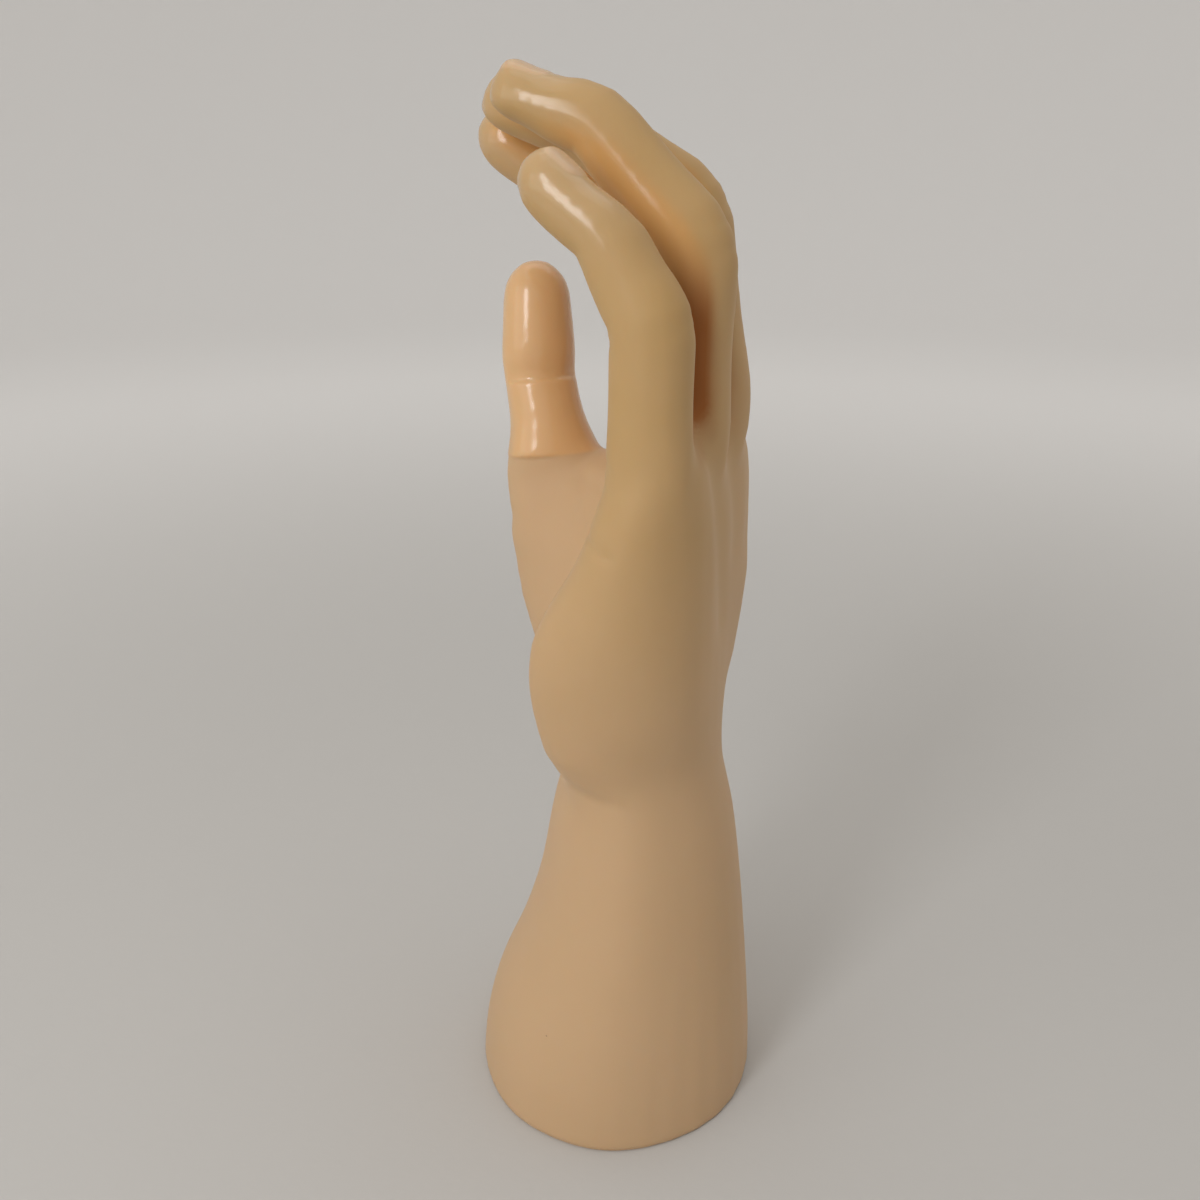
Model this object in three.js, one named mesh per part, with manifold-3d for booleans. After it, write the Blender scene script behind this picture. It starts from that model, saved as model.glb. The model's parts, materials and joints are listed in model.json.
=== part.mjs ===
// Free-standing display hand: a left hand with softly curled fingers, rising from a
// flared forearm that serves as its foot. The skin is one hollow casting of soft
// plastic, open underneath. A rigid disc closes the opening and keeps the foot flat,
// and a weight lies on the disc so that the tall, light hand stays upright.
//
// Millimetres, +Z up. The origin is the centre of the foot, on the table.
// The palm faces -X, the back of the hand +X, the little finger -Y, the thumb +Y.

import * as THREE from 'three';
import { LoftGeometry } from 'three/addons/geometries/LoftGeometry.js';
import { mergeVertices } from 'three/addons/utils/BufferGeometryUtils.js';
import Module from 'manifold-3d';

// Driving dimensions

const FOREARM_LENGTH = 98; // from the table to the wrist
const WALL = 2.6; // thickness of the cast skin
const CROWN = 30; // from the top of the palm down to the hollow
const LEDGE_WIDTH = 3; // how far the ledge inside the foot stands in over the disc
const LEDGE_HEIGHT = 4;
const LEDGE_SLOPE = 5; // height over which the ledge runs out into the wall
const DISC_THICKNESS = 4;
const DISC_CHAMFER = 0.6;
const WEIGHT_HEIGHT = 12;
const WEIGHT_INSET = 8; // from the ledge in to the side of the weight
const WEIGHT_CHAMFER = 2;
const CLEARANCE = 0.3; // between pieces that touch
const NAIL_THICKNESS = 0.5; // how far a nail stands out of the fingertip
const NAIL_ROOT = 2; // how deep a nail's underside lies in the finger

// Forearm sections at a share of its length: the middle's place, the reach from it to the
// palm, the back and each side, and the turn about the upright, in degrees.
const FOREARM = [
  { share: 0, x: 0, y: 0, palm: 37.6, back: 38.1, side: 42.4, turn: 0 },
  { share: 0.1, x: 0, y: 0, palm: 36.7, back: 37.9, side: 41.6, turn: 0 },
  { share: 0.245, x: 1, y: 0, palm: 34.4, back: 36, side: 39.6, turn: 0 },
  { share: 0.42, x: 3, y: -0.5, palm: 29.2, back: 32.5, side: 36.2, turn: 0 },
  { share: 0.61, x: 5, y: -1, palm: 25.4, back: 28.6, side: 33.2, turn: 0 },
  { share: 0.81, x: 6, y: -1.5, palm: 22.8, back: 25, side: 30.6, turn: -1 },
  { share: 0.93, x: 6.4, y: -1.9, palm: 20.6, back: 22, side: 29.3, turn: -2 },
];

// Rails that the palm's surface follows up from the wrist, in order round the hand. Each
// has its angle on the forearm's oval, in degrees from the back past the thumb's side,
// and then its points as rise above the wrist, x and y.
const RAILS = [
  {
    name: 'back',
    angle: 0,
    points: [[-1, 27.3, -1], [30, 28, -2.5], [58, 28.3, -3], [78, 26, -3], [90, 19.5, -3]],
  },
  {
    name: 'back by the first finger',
    angle: 45,
    points: [
      [-1, 22, 17], [10, 25, 17], [20, 30, 18], [48, 34.5, 19.5],
      [67, 34.8, 20], [78, 33, 20], [90, 25, 16],
    ],
  },
  {
    name: 'edge by the first finger',
    angle: 90,
    points: [
      [-1, 7, 27.5], [20, 9, 32], [38, 15, 34.5], [58, 24, 36],
      [72, 27.5, 36], [84, 27, 32], [90, 24, 26],
    ],
  },
  {
    name: 'side of the ball of the thumb',
    angle: 125,
    points: [
      [-1, -7, 23.5], [10, -10.5, 29], [22, -13, 34.5], [38, -16, 38.5], [51, -17, 40],
      [62, -6, 39], [73, 12, 36.5], [84, 20.5, 32], [90, 20, 26.5],
    ],
  },
  {
    name: 'ball of the thumb',
    angle: 150,
    points: [
      [-1, -13, 13], [10, -18.5, 19], [22, -23.5, 24], [36, -27, 26.5], [50, -27.6, 28],
      [60.5, -20.5, 29], [66, -12.5, 29], [69, -4, 28], [76, 10, 24.5], [90, 17, 18],
    ],
  },
  {
    name: 'hollow of the palm',
    angle: 180,
    points: [[-1, -13.5, -2], [20, -13, 1], [38, -9.5, 2.5], [58, -0.5, 3.5], [78, 8.5, 1.5], [90, 13.5, -1]],
  },
  {
    name: 'heel of the hand',
    angle: 210,
    points: [
      [-1, -13.5, -20.5], [4, -16.6, -22], [10, -18.8, -23], [28, -21.6, -24.5], [38, -20.4, -25],
      [48, -15.4, -26], [58, -9.6, -27], [67, -6.2, -28], [84, -0.2, -30.5], [90, 5.5, -25],
    ],
  },
  {
    name: 'side of the heel',
    angle: 235,
    points: [
      [-1, -5, -29], [10, -10.5, -32.5], [30, -13, -36], [48, -8.5, -38],
      [67, -3, -38.8], [84, 2, -37.2], [90, 6.5, -30],
    ],
  },
  {
    name: 'edge by the little finger',
    angle: 270,
    points: [[-1, 7, -31], [20, 5, -37], [48, 5, -41], [72, 6.2, -42], [84, 7.5, -39.5], [90, 9, -31.5]],
  },
  {
    name: 'back by the little finger',
    angle: 315,
    points: [
      [-1, 21, -22], [10, 19.5, -25], [30, 18.5, -30],
      [58, 18, -32.5], [78, 16.6, -33.8], [90, 12.5, -27],
    ],
  },
];

// Fingers: where the hand bone starts at the wrist and where the knuckle is, then the
// lengths of the finger's bones, how far each leans from upright towards the palm and
// the turn of the bend towards the thumb, in degrees, the radius at the middle joint and
// how far the free edge of the nail rises.
const FINGERS = [
  {
    root: { x: 7, y: -16, rise: 14 },
    knuckle: { x: 6.5, y: -32, rise: 74 },
    bones: [36.5, 20.6, 22.5],
    leans: [0.8, 29.4, 52.4],
    turn: 22,
    girth: 9.1,
    nailLift: 0,
  },
  {
    root: { x: 9, y: -7, rise: 12 },
    knuckle: { x: 15.3, y: -12.5, rise: 82 },
    bones: [42.8, 34.4, 25.8],
    leans: [-1.2, 41.4, 76.7],
    turn: 18,
    girth: 9.5,
    nailLift: 1.6,
  },
  {
    root: { x: 11, y: 2, rise: 12 },
    knuckle: { x: 22.5, y: 7.5, rise: 87 },
    bones: [45.3, 32, 24],
    leans: [8.1, 53.5, 80],
    turn: 13,
    girth: 9.7,
    nailLift: 0.8,
  },
  {
    root: { x: 11, y: 11, rise: 14 },
    knuckle: { x: 24, y: 27, rise: 78 },
    bones: [39.8, 31.5, 25.3],
    leans: [23.1, 42.2, 58.8],
    turn: 8,
    girth: 9.5,
    nailLift: 0.6,
  },
];

// A finger's shape along its bones: the bone, the share of its length, and the reach to
// the sides, the back and the palm, each as a share of the girth.
const FINGER_SHAPE = [
  { bone: 0, share: 0, side: 0.7, back: 0.7, palm: 0.7 },
  { bone: 0, share: 0.6, side: 0.92, back: 0.92, palm: 0.92 },
  { bone: 0, share: 1, side: 1.02, back: 1.08, palm: 1.1 },
  { bone: 1, share: 0.5, side: 0.96, back: 1, palm: 1 },
  { bone: 1, share: 1, side: 0.99, back: 1.05, palm: 0.94 },
  { bone: 2, share: 0.5, side: 0.88, back: 0.9, palm: 0.9 },
  { bone: 2, share: 1, side: 0.85, back: 0.84, palm: 0.8 },
  { bone: 3, share: 0.38, side: 0.84, back: 0.72, palm: 0.83 },
  { bone: 3, share: 0.75, side: 0.81, back: 0.66, palm: 0.77 },
  { bone: 3, share: 1, side: 0.75, back: 0.62, palm: 0.69 },
];
const FINGER_TIP = { side: 0.85, back: 0.42, palm: 0.95 }; // length of the tip's rounding
const LIMB_SQUARENESS = 2.1; // power of a limb's oval section, where two is an ellipse
const LEAST_REACH = 0.4; // that an inset leaves of a limb's section

// The thumb's joints from the wrist out, and its shape along its bones.
const THUMB_JOINTS = [
  { x: -2, y: 21, rise: 12 },
  { x: -16.4, y: 34, rise: 64 },
  { x: -20.6, y: 37.5, rise: 89.4 },
  { x: -21.2, y: 41.5, rise: 118 },
];
const THUMB_BACK = { x: -0.25, y: 1 }; // the way its nail faces, seen from above
const THUMB_SHAPE = [
  { bone: 0, share: 0, side: 6, back: 6, palm: 6 },
  { bone: 0, share: 0.4, side: 12, back: 10, palm: 9 },
  { bone: 0, share: 0.68, side: 13, back: 10.4, palm: 10 },
  { bone: 0, share: 1, side: 13.7, back: 9.6, palm: 10 },
  { bone: 1, share: 0.24, side: 12.2, back: 9, palm: 9.8 },
  { bone: 1, share: 0.42, side: 10.7, back: 8.6, palm: 9.5 },
  { bone: 1, share: 0.62, side: 9.8, back: 8.4, palm: 9.1 },
  { bone: 1, share: 1, side: 9.5, back: 8.8, palm: 8.2 },
  { bone: 2, share: 0.14, side: 9.9, back: 7.7, palm: 9 },
  { bone: 2, share: 0.42, side: 9.4, back: 7.4, palm: 9.2 },
  { bone: 2, share: 0.72, side: 8.7, back: 7.2, palm: 8 },
  { bone: 2, share: 1, side: 7.9, back: 7, palm: 6.6 },
];
const THUMB_TIP = { side: 8.8, back: 3.6, palm: 8.8 };
const THUMB_NAIL_LIFT = 0.6;

// A nail's outline: shares of the last bone, and how far it wraps to each side, in degrees.
const NAIL = [
  { share: 0.44, wrap: 24 },
  { share: 0.56, wrap: 38 },
  { share: 0.7, wrap: 42 },
  { share: 0.83, wrap: 42 },
  { share: 0.9, wrap: 36 },
];

// Fineness of the facets: points round a section, the step along it, and a tip's rings.
const FINE = { armSides: 40, armStep: 6, limbSides: 18, limbStep: 4.2, tipRings: 4 };
const COARSE = { armSides: 32, armStep: 8, limbSides: 10, limbStep: 11, tipRings: 2 };
const NAIL_POINTS = 6;
const TIP_END = 0.35; // share of a ring's step between a tip's last ring and its end
const JOINT_BEND = 0.17; // share of the shorter bone that a joint's bend takes up
const SOFTEN_ROUNDS = 8; // that take ridges out of a section
const SOFTEN_SHARES = [0.5, -0.53]; // of the way in to the neighbours, and back out
const MERGE_DISTANCE = 1e-4; // between points that are one corner
const OVERLAP = 0.3; // of cutting solids that are joined

const wasm = await Module();
wasm.setup();

const UP = new THREE.Vector3(0, 0, 1);
const REACHES = ['side', 'back', 'palm'];
const { degToRad, clamp } = THREE.MathUtils;

// A closed geometry as a solid that can be joined and cut.
function solid(geometry) {
  const bare = new THREE.BufferGeometry();
  bare.setAttribute('position', geometry.attributes.position);
  bare.setIndex(geometry.index);
  const merged = mergeVertices(bare, MERGE_DISTANCE);
  return new wasm.Manifold(new wasm.Mesh({
    numProp: 3,
    vertProperties: merged.attributes.position.array,
    triVerts: new Uint32Array(merged.index.array),
  }));
}

function geometryOf(manifold) {
  const mesh = manifold.getMesh();
  const geometry = new THREE.BufferGeometry();
  geometry.setAttribute('position', new THREE.BufferAttribute(mesh.vertProperties, 3));
  geometry.setIndex(new THREE.BufferAttribute(mesh.triVerts, 1));
  geometry.computeVertexNormals();
  return geometry;
}

function loft(sections) {
  return solid(new LoftGeometry(sections, { capStart: true, capEnd: true }));
}

const joined = (solids) => solids.reduce((all, next) => all.add(next));

// The value of one key at a place along the stations, on a smooth curve through them.
function along(stations, key, at) {
  const last = stations.length - 1;
  const found = stations.findIndex((station) => station.at >= at);
  const i = clamp(found < 0 ? last : found, 1, last);
  const [a, b] = [stations[i - 1], stations[i]];
  const slope = (p, q) => (q[key] - p[key]) / (q.at - p.at);
  const tangent = (k) => {
    if (k === 0 || k === last) return slope(a, b);
    const before = slope(stations[k - 1], stations[k]);
    const after = slope(stations[k], stations[k + 1]);
    return before * after <= 0 ? 0 : (2 * before * after) / (before + after);
  };
  const width = b.at - a.at;
  const t = clamp((at - a.at) / width, 0, 1);
  const ease = t * t * (3 - 2 * t);
  const bow = tangent(i - 1) * t * (1 - t) ** 2 - tangent(i) * t * t * (1 - t);
  return THREE.MathUtils.lerp(a[key], b[key], ease) + bow * width;
}

// A point on an oval section: half ovals towards the back and the palm share one width.
function ovalPoint({ centre, across, back }, reach, squareness, angle) {
  const swell = (value) => Math.sign(value) * Math.abs(value) ** (2 / squareness);
  const high = Math.sin(angle) > 0 ? reach.back : reach.palm;
  return centre.clone()
    .addScaledVector(across, swell(Math.cos(angle)) * reach.side)
    .addScaledVector(back, swell(Math.sin(angle)) * high);
}

function oval(place, reach, squareness, sides) {
  const angles = Array.from({ length: sides }, (_, i) => (i / sides) * 2 * Math.PI);
  return angles.map((angle) => ovalPoint(place, reach, squareness, angle));
}

// Evenly spaced values from one to another.
function spread(from, to, step) {
  const count = Math.ceil((to - from) / step);
  return Array.from({ length: count + 1 }, (_, i) => from + (i / count) * (to - from));
}

// Forearm and palm

// A point of the forearm's oval at an angle.
function forearmPoint({ x, y, palm, back, side, turn }, angle) {
  const away = Math.cos(degToRad(angle));
  const point = new THREE.Vector2(away * (away > 0 ? back : palm), Math.sin(degToRad(angle)) * side);
  return point.rotateAround(new THREE.Vector2(), degToRad(turn)).add({ x, y });
}

const rails = RAILS.map(({ angle, points }) => [
  ...FOREARM.map((section) => ({ at: section.share * FOREARM_LENGTH, ...forearmPoint(section, angle) })),
  ...points.map(([rise, x, y]) => ({ at: FOREARM_LENGTH + rise, x, y })),
]);
const ARM_TOP = Math.min(...rails.map((rail) => rail.at(-1).at));

// A closed outline without its short ridges, of the same size.
function softened(outline) {
  let points = outline;
  for (let round = 0; round < SOFTEN_ROUNDS; round++) {
    for (const share of SOFTEN_SHARES) {
      const old = points;
      points = old.map((point, i) => {
        const middle = old.at(i - 1).clone().lerp(old[(i + 1) % old.length], 0.5);
        return point.clone().lerp(middle, share);
      });
    }
  }
  return points;
}

// The section of forearm and palm at a height, pulled in and drawn at a level.
function armSection(at, inset, sides, level = at) {
  const marks = rails.map((rail) => new THREE.Vector3(along(rail, 'x', at), along(rail, 'y', at), level));
  const rough = new THREE.CatmullRomCurve3(marks, true, 'centripetal');
  const soft = softened(Array.from({ length: FINE.armSides }, (_, i) => rough.getPoint(i / FINE.armSides)));
  const outline = new THREE.CatmullRomCurve3(soft, true, 'centripetal');
  return Array.from({ length: sides }, (_, i) => {
    const inward = new THREE.Vector3().crossVectors(UP, outline.getTangent(i / sides));
    return outline.getPoint(i / sides).addScaledVector(inward, inset);
  });
}

// Fingers and thumb

// A path along straight bones with a rounded bend at each joint.
function bonePath(joints) {
  const path = new THREE.CurvePath();
  let from = joints[0];
  for (let i = 1; i < joints.length - 1; i++) {
    const [before, joint, after] = joints.slice(i - 1, i + 2);
    const bend = JOINT_BEND * Math.min(joint.distanceTo(before), joint.distanceTo(after));
    const enter = joint.clone().lerp(before, bend / joint.distanceTo(before));
    const leave = joint.clone().lerp(after, bend / joint.distanceTo(after));
    path.add(new THREE.LineCurve3(from, enter));
    path.add(new THREE.QuadraticBezierCurve3(enter, joint, leave));
    from = leave;
  }
  path.add(new THREE.LineCurve3(from, joints.at(-1)));
  return path;
}

// A finger or the thumb, along its joints.
class Limb {
  constructor(joints, shape, tip, backHint, nailLift) {
    this.path = bonePath(joints);
    this.length = this.path.getLength();
    this.tip = tip;
    this.backHint = backHint;
    this.nailLift = nailLift;
    const straight = joints.slice(1).map((joint, i) => joint.distanceTo(joints[i]));
    const total = straight.reduce((sum, bone) => sum + bone, 0);
    this.bones = straight.map((bone) => (bone * this.length) / total);
    this.starts = this.bones.map((_, i) => this.bones.slice(0, i).reduce((sum, bone) => sum + bone, 0));
    this.stations = shape.map((station) => ({ ...station, at: this.at(station.bone, station.share) }));
  }

  at(bone, share) {
    return this.starts[bone] + share * this.bones[bone];
  }

  place(at) {
    const centre = this.path.getPointAt(at / this.length);
    const tangent = this.path.getTangentAt(at / this.length);
    const across = new THREE.Vector3().crossVectors(this.backHint, tangent).normalize();
    const back = new THREE.Vector3().crossVectors(tangent, across);
    return { centre, across, back };
  }

  // The reach at a place, pulled in by an inset, and drawn in round the tip.
  reach(at, inset = 0) {
    const value = (key) => {
      const into = clamp((at + inset - this.length) / this.tip[key] + 1, 0, 1);
      const lift = key === 'back' ? this.lift(at) : 0;
      const full = Math.max(along(this.stations, key, at) + lift - inset, LEAST_REACH);
      return full * Math.sqrt(1 - into * into);
    };
    return Object.fromEntries(REACHES.map((key) => [key, value(key)]));
  }

  // How far the back rises under the nail towards its free edge.
  lift(at) {
    const last = this.bones.length - 1;
    const share = (at - this.starts[last]) / this.bones[last];
    return this.nailLift * THREE.MathUtils.smoothstep(share, NAIL[0].share, NAIL.at(-1).share);
  }

  skin(fineness, inset = 0) {
    const end = this.length - inset;
    const rounding = Math.max(...Object.values(this.tip)) - inset;
    const places = spread(0, end - rounding, fineness.limbStep);
    for (let i = 1; i <= fineness.tipRings; i++) {
      const angle = (i / (fineness.tipRings + TIP_END)) * (Math.PI / 2);
      places.push(end - rounding * (1 - Math.sin(angle)));
    }
    const section = (at) => oval(this.place(at), this.reach(at, inset), LIMB_SQUARENESS, fineness.limbSides);
    return loft(places.map(section));
  }

  // A nail: a curved plate on the back of the last bone.
  nail() {
    const sections = NAIL.map(({ share, wrap }) => {
      const at = this.at(this.bones.length - 1, share);
      const [place, reach] = [this.place(at), this.reach(at)];
      const angles = Array.from({ length: NAIL_POINTS }, (_, k) => {
        return Math.PI / 2 + degToRad(wrap) * ((2 * k) / (NAIL_POINTS - 1) - 1);
      });
      const arc = (grow) => {
        const grown = { side: reach.side + grow, back: reach.back + grow };
        return angles.map((angle) => ovalPoint(place, grown, LIMB_SQUARENESS, angle));
      };
      return [...arc(NAIL_THICKNESS), ...arc(-NAIL_ROOT).reverse()];
    });
    return loft(sections);
  }
}

function fromWrist({ x, y, rise }) {
  return new THREE.Vector3(x, y, FOREARM_LENGTH + rise);
}

function finger({ root, knuckle, bones, leans, turn, girth, nailLift }) {
  const swing = -degToRad(turn);
  const joints = [fromWrist(root), fromWrist(knuckle)];
  bones.forEach((bone, i) => {
    const lean = degToRad(leans[i]);
    const way = new THREE.Vector3(-Math.sin(lean), 0, Math.cos(lean)).applyAxisAngle(UP, swing);
    joints.push(joints.at(-1).clone().addScaledVector(way, bone));
  });
  const grown = (values) => Object.fromEntries(REACHES.map((key) => [key, values[key] * girth]));
  const shape = FINGER_SHAPE.map((station) => ({ ...station, ...grown(station) }));
  const backHint = new THREE.Vector3(1, 0, 1).applyAxisAngle(UP, swing);
  return new Limb(joints, shape, grown(FINGER_TIP), backHint, nailLift);
}

const fingers = FINGERS.map(finger);
const thumbBack = new THREE.Vector3(THUMB_BACK.x, THUMB_BACK.y, 0);
const thumb = new Limb(THUMB_JOINTS.map(fromWrist), THUMB_SHAPE, THUMB_TIP, thumbBack, THUMB_NAIL_LIFT);
const limbs = [...fingers, thumb];

// The skin: the outside of the hand, less the hollow that is open under the foot.

const armOutside = loft(spread(0, ARM_TOP, FINE.armStep).map((at) => armSection(at, 0, FINE.armSides)));
const outside = joined([
  armOutside,
  ...limbs.map((limb) => limb.skin(FINE)),
  ...limbs.map((limb) => limb.nail()),
]);

const SEAT = DISC_THICKNESS + CLEARANCE; // underside of the ledge
const LEDGE_TOP = SEAT + LEDGE_HEIGHT;
const SEAT_INSET = WALL + LEDGE_WIDTH;
const BELOW = -OVERLAP; // the cutting solids start under the foot
const HOLLOW_TOP = ARM_TOP - CROWN;

const opening = loft([BELOW, SEAT].map((level) => armSection(SEAT, WALL, FINE.armSides, level)));
const throat = loft([BELOW, LEDGE_TOP].map((level) => {
  return armSection(LEDGE_TOP, SEAT_INSET, COARSE.armSides, level);
}));
const hollowLevels = spread(LEDGE_TOP + LEDGE_SLOPE, HOLLOW_TOP, COARSE.armStep);
const hollow = loft([
  armSection(LEDGE_TOP, SEAT_INSET, COARSE.armSides, LEDGE_TOP - OVERLAP),
  ...hollowLevels.map((at) => armSection(at, WALL, COARSE.armSides)),
]);
const inside = joined([opening, throat, hollow, ...limbs.map((limb) => limb.skin(COARSE, WALL))]);

// The disc that closes the foot, and the weight on it.

const DISC_INSET = WALL + CLEARANCE;
const disc = loft([
  armSection(SEAT, DISC_INSET + DISC_CHAMFER, FINE.armSides, 0),
  armSection(SEAT, DISC_INSET, FINE.armSides, DISC_CHAMFER),
  armSection(SEAT, DISC_INSET, FINE.armSides, DISC_THICKNESS),
]);

const WEIGHT_BOTTOM = DISC_THICKNESS + CLEARANCE;
const WEIGHT_TOP = WEIGHT_BOTTOM + WEIGHT_HEIGHT;
const WEIGHT_EDGE = SEAT_INSET + WEIGHT_INSET;
const weight = loft([
  armSection(LEDGE_TOP, WEIGHT_EDGE, FINE.armSides, WEIGHT_BOTTOM),
  armSection(LEDGE_TOP, WEIGHT_EDGE, FINE.armSides, WEIGHT_TOP - WEIGHT_CHAMFER),
  armSection(LEDGE_TOP, WEIGHT_EDGE + WEIGHT_CHAMFER, FINE.armSides, WEIGHT_TOP),
]);

const finishes = {
  skin: new THREE.MeshStandardMaterial({ color: 0xd9b48a, roughness: 0.42, metalness: 0 }),
  disc: new THREE.MeshStandardMaterial({ color: 0xc9a67f, roughness: 0.6, metalness: 0 }),
  weight: new THREE.MeshStandardMaterial({ color: 0x4d4b49, roughness: 0.8, metalness: 0.7 }),
};

const hand = new THREE.Group();

function piece(name, manifold, material) {
  const mesh = new THREE.Mesh(geometryOf(manifold), material);
  mesh.name = name;
  hand.add(mesh);
}

piece('hand_skin', outside.subtract(inside), finishes.skin);
piece('base_disc', disc, finishes.disc);
piece('foot_weight', weight, finishes.weight);

export default hand;
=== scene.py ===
"""Looks of a free-standing display hand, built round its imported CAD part.

The skin is one hollow casting of soft plastic. Its outside is taken from the CAD skin as one
closed surface, freed of facets, filled softly where fingers meet the palm, and carved with
nails, joint creases and palm lines. Its inside, the closing disc and the weight keep their CAD
shapes. Lengths in the tables are millimetres, and the scene is in metres.
"""

from __future__ import annotations

import json
import logging
import math
from dataclasses import dataclass, field
from enum import Enum
from typing import Any

import bmesh
import bpy
import numpy as np
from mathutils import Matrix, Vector
from mathutils.bvhtree import BVHTree

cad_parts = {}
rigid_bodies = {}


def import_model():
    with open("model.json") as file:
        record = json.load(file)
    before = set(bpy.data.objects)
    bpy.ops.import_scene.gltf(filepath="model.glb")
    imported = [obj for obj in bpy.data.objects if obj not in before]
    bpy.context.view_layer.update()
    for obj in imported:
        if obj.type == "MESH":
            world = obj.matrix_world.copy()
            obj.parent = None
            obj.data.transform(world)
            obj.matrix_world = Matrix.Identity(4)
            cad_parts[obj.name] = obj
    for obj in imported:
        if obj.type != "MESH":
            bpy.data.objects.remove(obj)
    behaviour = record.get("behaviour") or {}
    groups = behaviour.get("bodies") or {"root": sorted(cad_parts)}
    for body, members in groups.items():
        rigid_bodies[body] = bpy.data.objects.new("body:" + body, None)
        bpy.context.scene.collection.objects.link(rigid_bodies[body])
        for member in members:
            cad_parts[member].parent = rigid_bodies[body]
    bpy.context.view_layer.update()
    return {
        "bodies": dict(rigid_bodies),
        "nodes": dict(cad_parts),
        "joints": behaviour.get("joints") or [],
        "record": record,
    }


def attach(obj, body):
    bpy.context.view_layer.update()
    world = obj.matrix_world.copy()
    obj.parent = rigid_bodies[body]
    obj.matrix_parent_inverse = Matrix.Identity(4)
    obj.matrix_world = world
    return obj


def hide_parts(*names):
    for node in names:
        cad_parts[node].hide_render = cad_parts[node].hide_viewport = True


log = logging.getLogger("display_hand")

Point = tuple[float, float, float]
Colour = tuple[float, float, float]

MM = 0.001
SMOOTH_STEPS = (0.5, -0.515)  # of the way in to the neighbours' mean, and back out


def unit(vector: np.ndarray) -> np.ndarray:
    """A vector's direction."""
    return vector / np.linalg.norm(vector)


def ease(low: float, high: float, value: np.ndarray) -> np.ndarray:
    """A smooth rise from 0 at low to 1 at high, which may lie either way round."""
    share = np.clip((value - low) / (high - low), 0.0, 1.0)
    return share * share * (3.0 - 2.0 * share)


def bell(value: np.ndarray, width: float) -> np.ndarray:
    """A soft bump that is 1 at zero and fades over a width."""
    return np.exp(-((value / width) ** 2))


def path_distance(points: np.ndarray, path: np.ndarray) -> np.ndarray:
    """How far points lie from a path of straight stretches.

    Args:
        points: places, in the path's unit.
        path: the path's corners.

    Returns:
        The distances, in the same unit.
    """
    nearest = np.full(len(points), np.inf)
    for start, end in zip(path, path[1:]):
        way = end - start
        share = np.clip((points - start) @ way / (way @ way), 0, 1)
        gap = np.linalg.norm(points - start - share[:, None] * way, axis=1)
        nearest = np.minimum(nearest, gap)
    return nearest


class Side(Enum):
    """The side of a finger that a crease lies on."""

    PALM = -1.0
    BACK = 1.0


@dataclass(frozen=True)
class Frame:
    """A place on a finger with its own directions."""

    origin: np.ndarray
    along: np.ndarray
    across: np.ndarray
    back: np.ndarray

    def local(self, points: np.ndarray) -> tuple[np.ndarray, np.ndarray, np.ndarray]:
        """Points as distances along, across and towards the back.

        Args:
            points: places in the scene, in metres.

        Returns:
            The three distances, in millimetres.
        """
        away = (points - self.origin) / MM
        return away @ self.along, away @ self.across, away @ self.back


@dataclass(frozen=True)
class Nail:
    """A nail's outline on the last bone, in millimetres."""

    start: float
    end: float
    half_width: float
    radius: float
    corner: float = 3.2
    plate: float = 0.05
    groove: float = 0.12
    fold: float = 0.05

    def distance(self, frame: Frame, points: np.ndarray) -> tuple[np.ndarray, np.ndarray]:
        """How far points lie outside the nail's outline, over the curve of the finger.

        Args:
            frame: the last bone's frame.
            points: places in the scene, in metres.

        Returns:
            The distances, less than zero inside, and the places along the bone.
        """
        along, across, up = frame.local(points)
        round_finger = np.arctan2(across, up) * self.radius
        half_length = (self.end - self.start) / 2
        over_length = np.abs(along - (self.start + self.end) / 2) - half_length + self.corner
        over_width = np.abs(round_finger) - self.half_width + self.corner
        outside = np.hypot(np.maximum(over_length, 0), np.maximum(over_width, 0))
        inside = np.minimum(np.maximum(over_length, over_width), 0)
        distance = outside + inside - self.corner
        near = np.hypot(across, up) < self.radius * 1.5
        return np.where(near & (up > -self.radius), distance, np.inf), along

    def height(self, distance: np.ndarray, along: np.ndarray) -> np.ndarray:
        """How far the skin rises over the nail and the fold behind it, or falls in its groove.

        Args:
            distance: how far points lie outside the nail's outline.
            along: their places along the bone.

        Returns:
            The heights, in millimetres.
        """
        behind = ease(self.end + 0.3, self.end - 1.2, along)
        over = self.plate * ease(0.35, -0.5, distance)
        return over - self.groove * bell(distance, 0.7) + self.fold * bell(distance - 1.5, 1.0) * behind


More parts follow.
